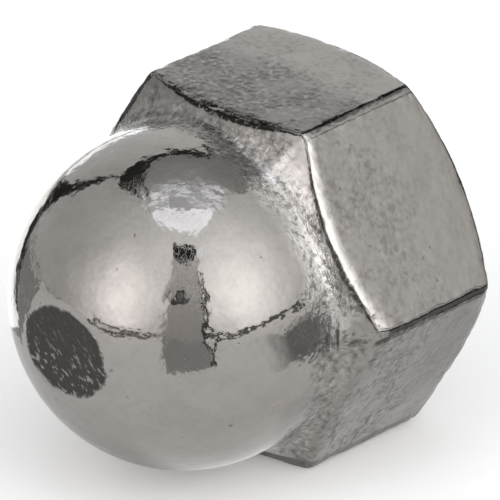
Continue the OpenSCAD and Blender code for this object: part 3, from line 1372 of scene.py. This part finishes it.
    def build(self, groups: PlatingGroups) -> bpy.types.Object:
        """Make the whole nut, dressed and laid in the frame.

        Args:
            groups: the shared shader effects.

        Returns:
            The finished piece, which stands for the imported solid.
        """
        outside, bore = self.plate.material(groups, self), self.tapped.material(groups)
        parts = []
        for name, mesh in (("nut_body", self.body(outside, bore)), ("nut_thread", self.thread(bore))):
            mesh.transform(self.laid())
            mesh.shade_smooth()
            part = bpy.data.objects.new(name, mesh)
            bpy.context.scene.collection.objects.link(part)
            parts.append(part)
        with bpy.context.temp_override(active_object=parts[0], selected_editable_objects=parts):
            bpy.ops.object.join()
        return parts[0]


@dataclass(frozen=True)
class TentLevel:
    """How bright a part of the tent is, and its tint, at its lower and at its upper edge."""

    low: float
    high: float
    tint: Colour = WHITE


@dataclass(frozen=True)
class Glow:
    """A bright round patch where a lamp stands behind the tent's cloth."""

    turn: float
    rise: float
    spread: float
    strength: float
    tint: Colour = WHITE


@dataclass(frozen=True)
class TableCard:
    """A dark card on the table beside the nut, which darkens only what the metal shows of the table: painted
    shade on the reflected table.
    """

    name: str
    turns: Point
    rises: Point
    soft: Point
    level: float


@dataclass(frozen=True)
class TableStrip:
    """A straight glowing card on the table, beside the line from start to end, which only the metal shows:
    painted light and shade on the reflected table.

    It lies to the left of that line, as seen from the start, and is given in millimetres from the nut. Its
    width may change from the start to the end.
    """

    name: str
    start: Point
    end: Point
    width: float
    end_width: float
    soft: float
    level: float


@dataclass
class LightTent:
    """A white cloth tent round the nut, with a slit for the camera, a roof window and dark seams.

    Directions are given from the nut: turn goes round the upright, 0 towards the camera and positive to its
    right, and rise is the height above the table's horizon.
    """

    azimuth: float
    middle: Vector
    radius: float = 0.30
    cloth: float = 0.70
    foot_sunk: float = 0.4
    wall_top: float = 89.0
    wall_steps: tuple[int, int] = (96, 30)
    sheet_steps: int = 6
    glows: tuple[Glow, ...] = (
        Glow(-44.0, 17.0, 22.0, 1.34, (1.05, 1.0, 1.02)),
        Glow(-28.0, 45.0, 36.0, 0.48),
        Glow(42.0, 20.0, 27.0, 0.96, (1.01, 1.0, 1.01)),
        Glow(50.0, 35.0, 46.0, 0.72),
        Glow(176.0, 24.0, 24.0, 0.24),
    )
    window: TentLevel = TentLevel(2.25, 2.10, (0.97, 1.0, 1.08))
    fold: TentLevel = TentLevel(1.75, 1.75, (0.97, 1.0, 1.06))
    fold_ground: float = 0.56
    fold_run: float = 5.0
    fold_across: float = 22.0
    fold_back: Point = (-0.05, 0.28)
    fold_aside: Point = (-0.36, 0.42)
    fold_narrowing: float = 0.6
    fold_depth: float = 0.045
    fold_steps: tuple[int, int] = (8, 12)
    roof: TentLevel = TentLevel(0.84, 0.84, (0.97, 1.0, 1.05))
    gloom: TentLevel = TentLevel(0.34, 0.52)
    rear_roof: TentLevel = TentLevel(0.50, 0.86)
    slit: TentLevel = TentLevel(0.53, 0.86, (1.02, 1.0, 0.99))
    dark: TentLevel = TentLevel(0.03, 0.03)
    corner: TentLevel = TentLevel(0.03, 0.06, (0.94, 1.0, 0.93))
    back_window: TentLevel = TentLevel(1.90, 1.90, (0.98, 1.0, 1.04))
    lens: TentLevel = TentLevel(0.14, 0.34)
    # Painted shade on the table, which only the metal's reflections show
    cards: tuple[TableCard, ...] = (
        TableCard("card_in_front", (-13.0, 13.5), (-17.0, 1.0), (0.4, 0.4), 0.44),
        TableCard("card_edge", (13.2, 16.0), (-16.0, 1.0), (0.4, 0.4), 0.05),
        TableCard("card_left", (-149.5, -106.0), (-27.0, -2.0), (2.0, 2.0), 0.38),
        TableCard("card_right", (40.0, 116.0), (-25.0, -5.0), (26.0, 5.0), 0.27),
        TableCard("card_right_end", (128.0, 154.0), (-14.0, -2.2), (2.0, 1.0), 0.05),
    )
    card_height: float = 0.2
    card_least_dip: float = 1.7
    card_reach: float = 0.96
    card_steps: tuple[int, int] = (16, 10)
    # The strips under the dome and the flat lighten the nut's own shadow in reflections; the left edge is
    # painted shade and the left glare a painted glow
    strips: tuple[TableStrip, ...] = (
        TableStrip("strip_under_dome", (10.5, -14.0), (10.5, 2.5), 10.0, 10.0, 3.0, 0.87),
        TableStrip("strip_under_flat", (10.5, -1.0), (10.5, 15.0), 7.0, 7.0, 2.4, 0.72),
        TableStrip("strip_left_edge", (-22.0, -7.0), (-290.0, 95.0), 1.5, 69.0, 0.3, 0.04),
        TableStrip("strip_left_glare", (-112.0, 27.3), (-18.0, -8.5), 60.0, 60.0, 0.3, 1.70),
    )
    strip_height: float = 0.6
    stacking: float = 0.05

    def direction(self, turn: float, rise: float = 0.0) -> Vector:
        """Return the unit vector of a direction from the nut.

        Args:
            turn: the turn.
            rise: the rise.

        Returns:
            The vector.
        """
        around = radians(self.azimuth + turn)
        level = cos(radians(rise))
        return Vector((sin(around) * level, -cos(around) * level, sin(radians(rise))))

    def _away(self, finish: Finish) -> Value:
        """Add the direction from the nut to the point."""
        return finish.position().vector("SUBTRACT", tuple(self.middle)).vector("NORMALIZE")

    def _toward(self, place: Value, turn: float, rise: float = 0.0) -> Value:
        """Add how far a place or a direction reaches towards a turn and rise."""
        return place.vector("DOT_PRODUCT", tuple(self.direction(turn, rise)))

    def cloth_material(self) -> bpy.types.Material:
        """Make the lit cloth: an even level with a soft glow where each lamp stands.

        Returns:
            The material.
        """
        finish = Finish("tent_cloth")
        away = self._away(finish)
        total = finish.mix(0.0, (self.cloth,) * 3, BLACK)
        for glow in self.glows:
            gap = finish.math("ARCCOSINE", self._toward(away, glow.turn, glow.rise)) / radians(glow.spread)
            fall = (gap ** 2.0 * -1.0).exponential()
            lamp = tuple(glow.strength * c for c in glow.tint)
            total = total.painted(fall, finish.mix(1.0, total, lamp, "ADD"))
        return finish.show(finish.light(total, 1.0))

    def plain_material(self, name: str, level: TentLevel, rises: list[float]) -> bpy.types.Material:
        """Make a part whose brightness runs evenly from its lower to its upper edge.

        Args:
            name: the material's name.
            level: its brightness and tint.
            rises: the rises of the points along both edges.

        Returns:
            The material.
        """
        finish = Finish(name)
        low, high = min(rises), max(rises)
        rise = finish.math("ARCSINE", self._away(finish).parts()[2])
        strength = rise.ramp(radians(low), radians(max(high, low + 0.1)), level.low, level.high)
        return finish.show(finish.light(level.tint, strength))

    def sheet(self, name: str, lower: list[Point], upper: list[Point], depth: float,
              level: TentLevel) -> None:
        """Hang a piece of cloth or trim between two edges.

        Args:
            name: the piece's name.
            lower: turn and rise of points along its lower or left edge.
            upper: the same number of points along the other edge.
            depth: how far it hangs in front of the tent's wall, as a share of the radius.
            level: its brightness.
        """
        fine = self.sheet_steps
        edges = []
        for edge in (lower, upper):
            row = [edge[0]]
            for (t0, e0), (t1, e1) in zip(edge, edge[1:]):
                row += list(zip(evenly(t0, t1, fine), evenly(e0, e1, fine)))[1:]
            edges.append(row)
        points = [self.middle + self.direction(turn, rise) * self.radius * (1.0 - depth)
                  for (t0, e0), (t1, e1) in zip(*edges)
                  for turn, rise in zip(evenly(t0, t1, fine), evenly(e0, e1, fine))]
        finish = self.plain_material(name, level, [rise for _, rise in lower + upper])
        self._hang(name, points, grid_faces(len(edges[0]) - 1, fine), finish)

    @staticmethod
    def _hang(name: str, points: list, faces: list[Face], finish: bpy.types.Material) -> bpy.types.Object:
        """Add a part of the tent that the camera looks through.

        Args:
            name: the part's name.
            points: its corners, in metres.
            faces: the numbers of each face's corners.
            finish: its material.

        Returns:
            The part.
        """
        made = new_object(name, points, faces, finish)
        made.visible_camera = False
        return made

    def walls(self) -> None:
        """Put up the cloth: a dome that stands on the table."""
        foot = -degrees(atan(self.middle.z / self.radius)) - self.foot_sunk
        rounds, levels = self.wall_steps
        points = [self.middle + self.direction(360.0 * k / rounds, rise) * self.radius
                  for rise in evenly(foot, self.wall_top, levels) for k in range(rounds)]
        faces = grid_faces(levels, rounds, closed=True)
        faces.append(tuple(range(levels * rounds, (levels + 1) * rounds)))
        self._hang("tent_walls", points, faces, self.cloth_material())

    def roof_parts(self) -> None:
        """Add the roof, its window and the gloom behind it."""
        self.sheet("tent_roof", [(-180, 79), (-90, 79), (0, 79), (90, 79), (180, 79)],
                   [(-180, 89.5), (-90, 89.5), (0, 89.5), (90, 89.5), (180, 89.5)], 0.02, self.roof)
        self.sheet("tent_window", [(-88, 73), (-58, 70.5), (0, 68), (52, 69), (80, 70)],
                   [(-88, 76), (-52, 82), (0, 83), (52, 82), (80, 76)], 0.03, self.window)
        self.folded_cloth()
        self.sheet("tent_rear_roof", [(122, 58), (150, 66), (180, 68), (210, 69), (254, 69)],
                   [(122, 76), (150, 79), (180, 79), (210, 79), (254, 75)], 0.03, self.rear_roof)
        self.sheet("tent_gloom", [(118, 50), (150, 42), (180, 43), (205, 45), (232, 58), (252, 67)],
                   [(118, 60), (150, 68), (180, 70), (205, 71), (232, 71), (252, 70)], 0.035, self.gloom)

    def folded_cloth(self) -> None:
        """Hang the creased cloth behind the roof window: grey, with bright folds from side to side."""
        finish = Finish("tent_folded_cloth")
        away = self._away(finish)
        aside, back = self._toward(away, 90.0), self._toward(away, 180.0)
        spread = finish.combined(aside * self.fold_run, back * self.fold_across)
        crease = spread.noise(1.0, 2.0, 0.55).ramp(0.46, 0.56)
        notch = abs(aside + 0.03).ramp(0.07, 0.1).at_least(back.ramp(0.02, 0.05))
        crease = crease * (notch * back.ramp(0.27, 0.22))
        ground = back.ramp(0.27, 0.05, self.fold_ground, self.roof.high)
        made = finish.show(finish.light(self.fold.tint, crease.between(ground, self.fold.high)))
        points = []
        for behind in evenly(*self.fold_back, self.fold_steps[0]):
            for right in evenly(*self.fold_aside, self.fold_steps[1]):
                right *= 1.0 - self.fold_narrowing * max(behind, 0.0)
                way = self.direction(degrees(atan2(right, -behind)), degrees(acos(hypot(right, behind))))
                points.append(self.middle + way * self.radius * (1.0 - self.fold_depth))
        self._hang("tent_folded_cloth", points, grid_faces(*self.fold_steps), made)

    def trim(self) -> None:
        """Add the dark trim: the rear rail, the rear corners and the seam along the table."""
        self.sheet("tent_rear_rail", [(140, 40.6), (160, 41.6), (180, 42), (197, 43)],
                   [(140, 42.4), (160, 46.2), (180, 48.2), (197, 50)], 0.045, self.dark)
        self.sheet("tent_rear_corner",
                   [(194, 43), (207, 43), (217, 44), (226, 48), (236, 56), (249, 66)],
                   [(194, 47.5), (203, 51.5), (210, 55.5), (224, 61), (237, 66), (249, 67.4)],
                   0.05, self.corner)
        self.sheet("tent_left_post",
                   [(-144, 44), (-140, 34), (-140, 26), (-143, 17), (-149, 8), (-155, -1.4)],
                   [(-139, 44), (-135, 34), (-136, 26), (-137, 17), (-138, 8), (-140, -1.4)],
                   0.045, self.dark)
        self.sheet("tent_back_window", [(-196, -1.4), (-178, -1.4), (-157, -1.4)],
                   [(-196, 3), (-172, 3.4), (-156, 6)], 0.06, self.back_window)
        self.sheet("tent_right_post", [(146, 43), (145, 34), (145, 26), (147, 17), (149, 8), (152, -1.4)],
                   [(140, 43), (140, 34), (141, 26), (142, 17), (144, 8), (145, -1.4)], 0.045, self.dark)
        for name, start, end, top in (("left", -62, -17, 0.9), ("side", -146, -62, -1.15),
                                      ("right", 16, 145, 0.8), ("rear", 150, 205, 0.2)):
            stops = evenly(start, end, 8)
            self.sheet(f"tent_seam_{name}", [(t, -1.6) for t in stops], [(t, top) for t in stops],
                       0.03, self.dark)

    def front(self) -> None:
        """Add the slit that the camera looks through, the lens in it, and the clip above it."""
        self.sheet("tent_slit", [(-17, -1.5), (-13.5, 8), (-12.5, 25), (-9.5, 45), (-11, 57)],
                   [(13.5, -1.5), (14, 8), (15, 25), (14, 45), (14, 57)], 0.03, self.slit)
        self.sheet("tent_slit_edge", [(13.0, -1.5), (13.6, 8), (14.4, 25), (13.4, 42)],
                   [(16.2, -1.5), (16.4, 8), (16.8, 25), (15.2, 42)], 0.04, self.dark)
        self.sheet("tent_clip", [(-14, 57.5), (-8, 52.5), (0, 50), (8, 48), (14, 50)],
                   [(-14, 61), (-8, 61.5), (0, 58.5), (8, 56.8), (14, 55)], 0.05, self.dark)
        self.sheet("tent_clip_shine", [(9.5, 48.6), (16, 51.4), (25, 54)],
                   [(9.5, 51), (16, 54.4), (25, 56.4)], 0.06, self.fold)
        middle = (-3.0, 26.0)
        for name, wide, tall, depth, level in (("tent_lens", 6.2, 5.8, 0.05, self.dark),
                                               ("tent_lens_glass", 3.4, 3.2, 0.055, self.lens)):
            ring = [(middle[0] + wide * cos(a), middle[1] + tall * sin(a)) for a in evenly(0.0, 2 * pi, 24)]
            self.sheet(name, ring, [middle] * len(ring), depth, level)

    def _lay(self, name: str, points: list, faces: list[Face], finish: bpy.types.Material) -> None:
        """Add a card that neither casts a shadow nor lights the matt table. Only reflections show it.

        Args:
            name: the card's name.
            points: its corners, in metres.
            faces: the numbers of each face's corners.
            finish: its material.
        """
        made = self._hang(name, points, faces, finish)
        made.visible_diffuse = False
        made.visible_shadow = False

    def card_material(self, card: TableCard) -> bpy.types.Material:
        """Make a card that is dark in its middle and clear at its soft edges.

        Args:
            card: the card.

        Returns:
            The material.
        """
        finish = Finish(card.name)
        position = finish.position()
        facing = sum(card.turns) / 2
        ahead, aside = self._toward(position, facing), self._toward(position, facing + 90.0)
        off = abs(finish.math("ARCTAN2", aside, ahead))
        dip = finish.math("ARCTANGENT", finish.math("DIVIDE", self.middle.z, position.vector("LENGTH")))
        half = radians(card.turns[1] - card.turns[0]) / 2
        low, high = radians(-card.rises[1]), radians(-card.rises[0])
        within = off.ramp(half - radians(card.soft[0]), half, 1.0, 0.0)
        within = within * dip.ramp(low, low + radians(card.soft[1]))
        within = within * dip.ramp(high - radians(0.6), high, 1.0, 0.0)
        return finish.fade(within, card.level)

    def lay_card(self, card: TableCard, height: float) -> None:
        """Lay a card on the table.

        Args:
            card: the card.
            height: how far above the table it lies, in metres, so that cards may overlap.
        """
        start = self.middle.z / tan(radians(-card.rises[0]))
        lowest = radians(max(-card.rises[1], self.card_least_dip))
        end = min(self.middle.z / tan(lowest), self.radius * self.card_reach)
        (steps, across), points = self.card_steps, []
        for k in range(steps + 1):
            reach = start * (end / start) ** (k / steps)
            for turn in evenly(*card.turns, across):
                way = self.direction(turn)
                points.append((way.x * reach, way.y * reach, height))
        self._lay(card.name, points, grid_faces(steps, across), self.card_material(card))

    def lay_strip(self, strip: TableStrip, height: float) -> None:
        """Lay a straight card on the table.

        Args:
            strip: the card.
            height: how far above the table it lies, in metres.
        """
        start, end = (Vector((*p, 0.0)) * MM for p in (strip.start, strip.end))
        length = (end - start).length
        run = (end - start).normalized()
        side = Vector((-run.y, run.x, 0.0))
        corners = [start, end, end + side * strip.end_width * MM, start + side * strip.width * MM]
        finish = Finish(strip.name)
        off = finish.position().vector("SUBTRACT", tuple(start))
        across, ahead = off.vector("DOT_PRODUCT", tuple(side)), off.vector("DOT_PRODUCT", tuple(run))
        wide = ahead * ((strip.end_width - strip.width) * MM / length) + strip.width * MM
        within = across.at_most(wide - across).ramp(0.0, strip.soft * MM)
        within = within * ahead.at_most(length - ahead).ramp(0.0, strip.soft * MM)
        self._lay(strip.name, [(p.x, p.y, height) for p in corners], [(0, 1, 2, 3)],
                  finish.fade(within, strip.level))

    def build(self) -> None:
        """Put up the whole tent."""
        self.walls()
        self.roof_parts()
        self.trim()
        self.front()
        for place, card in enumerate(self.cards):
            self.lay_card(card, (self.card_height + self.stacking * place) * MM)
        for place, strip in enumerate(self.strips):
            self.lay_strip(strip, (self.strip_height + self.stacking * place) * MM)
        log.info("light tent: radius %.2f m, %d lamps behind the cloth, %d cards", self.radius,
                 len(self.glows), len(self.cards) + len(self.strips))


@dataclass
class Table:
    """The plain white table that the nut lies on."""

    radius: float = 0.302
    colour: Colour = (0.84, 0.84, 0.835)
    lift: float = 0.2
    glossy_lift: float = 0.05

    def material(self) -> bpy.types.Material:
        """Make matt white, with a little light of its own for what looks at it directly or by reflection.

        Returns:
            The material.
        """
        finish = Finish("white_table")
        path = finish.add("ShaderNodeLightPath")
        mirrored = path["Is Glossy Ray"].at_least(path["Is Transmission Ray"])
        seen = path["Is Camera Ray"] * self.lift + mirrored * self.glossy_lift
        matt = finish.add("ShaderNodeBsdfDiffuse", {"Color": opaque(self.colour)})
        return finish.show(finish.add("ShaderNodeAddShader", {0: matt, 1: finish.light(WHITE, seen)}))

    def build(self) -> None:
        """Make the round table top at height 0."""
        rim = [(self.radius * cos(a), self.radius * sin(a), 0.0) for a in evenly(0.0, 2 * pi, 96)[:-1]]
        new_object("table", rim, [tuple(range(len(rim)))], self.material())
        log.info("table: radius %.2f m", self.radius)


@dataclass
class StudioCamera:
    """A long lens that looks down on the nut from its front left, turned a touch off level."""

    azimuth: float = 44.93
    elevation: float = 26.84
    roll: float = -0.98
    distance: float = 579.9
    focal_length: float = 936.0
    aim_right: float = 1.88
    aim_up: float = 1.377

    def build(self, middle: Vector) -> None:
        """Make the scene's camera.

        Args:
            middle: the middle of the nut's box.
        """
        a, e = radians(self.azimuth), radians(self.elevation)
        back = Vector((sin(a) * cos(e), -cos(a) * cos(e), sin(e)))
        turn = (-back).to_track_quat("-Z", "Y").to_matrix() @ Matrix.Rotation(radians(self.roll), 3, "Z")
        right, up = turn.col[0], turn.col[1]
        data = bpy.data.cameras.new("studio_camera")
        data.lens = self.focal_length
        data.sensor_width = 36.0
        data.clip_start, data.clip_end = 0.01, 5.0
        camera = bpy.data.objects.new("studio_camera", data)
        bpy.context.scene.collection.objects.link(camera)
        aim = middle + right * self.aim_right * MM + up * self.aim_up * MM
        camera.matrix_world = Matrix.Translation(aim + back * self.distance * MM) @ turn.to_4x4()
        bpy.context.scene.camera = camera
        log.info("camera: %.0f mm lens, %.0f mm away", self.focal_length, self.distance)


def white_world() -> None:
    """Make the world plain white at strength 1."""
    world = bpy.data.worlds.new("white_world")
    world.use_nodes = True
    background = world.node_tree.nodes["Background"]
    NodeSketch(world.node_tree).put(background, {"Color": opaque(WHITE), "Strength": 1.0})
    bpy.context.scene.world = world


def main() -> None:
    """Build the camera, the nut, the table and the tent, in that order."""
    logging.basicConfig(level=logging.INFO, format="%(name)s: %(message)s")
    bpy.context.scene.view_settings.view_transform = "Standard"
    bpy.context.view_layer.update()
    low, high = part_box("cap_nut")
    middle = (low + high) / 2
    camera = StudioCamera()
    camera.build(middle)
    nut = CapNut(length=(high.y - low.y) / MM, flat_radius=(high.z - low.z) / MM / 2,
                 corner_radius=(high.x - low.x) / MM / 2)
    piece = nut.build(PlatingGroups())
    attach(piece, "root")
    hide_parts("cap_nut")
    log.info("%s: %d faces", piece.name, len(piece.data.polygons))
    Table().build()
    LightTent(azimuth=camera.azimuth, middle=middle).build()
    white_world()


if __name__ == "__main__":
    main()
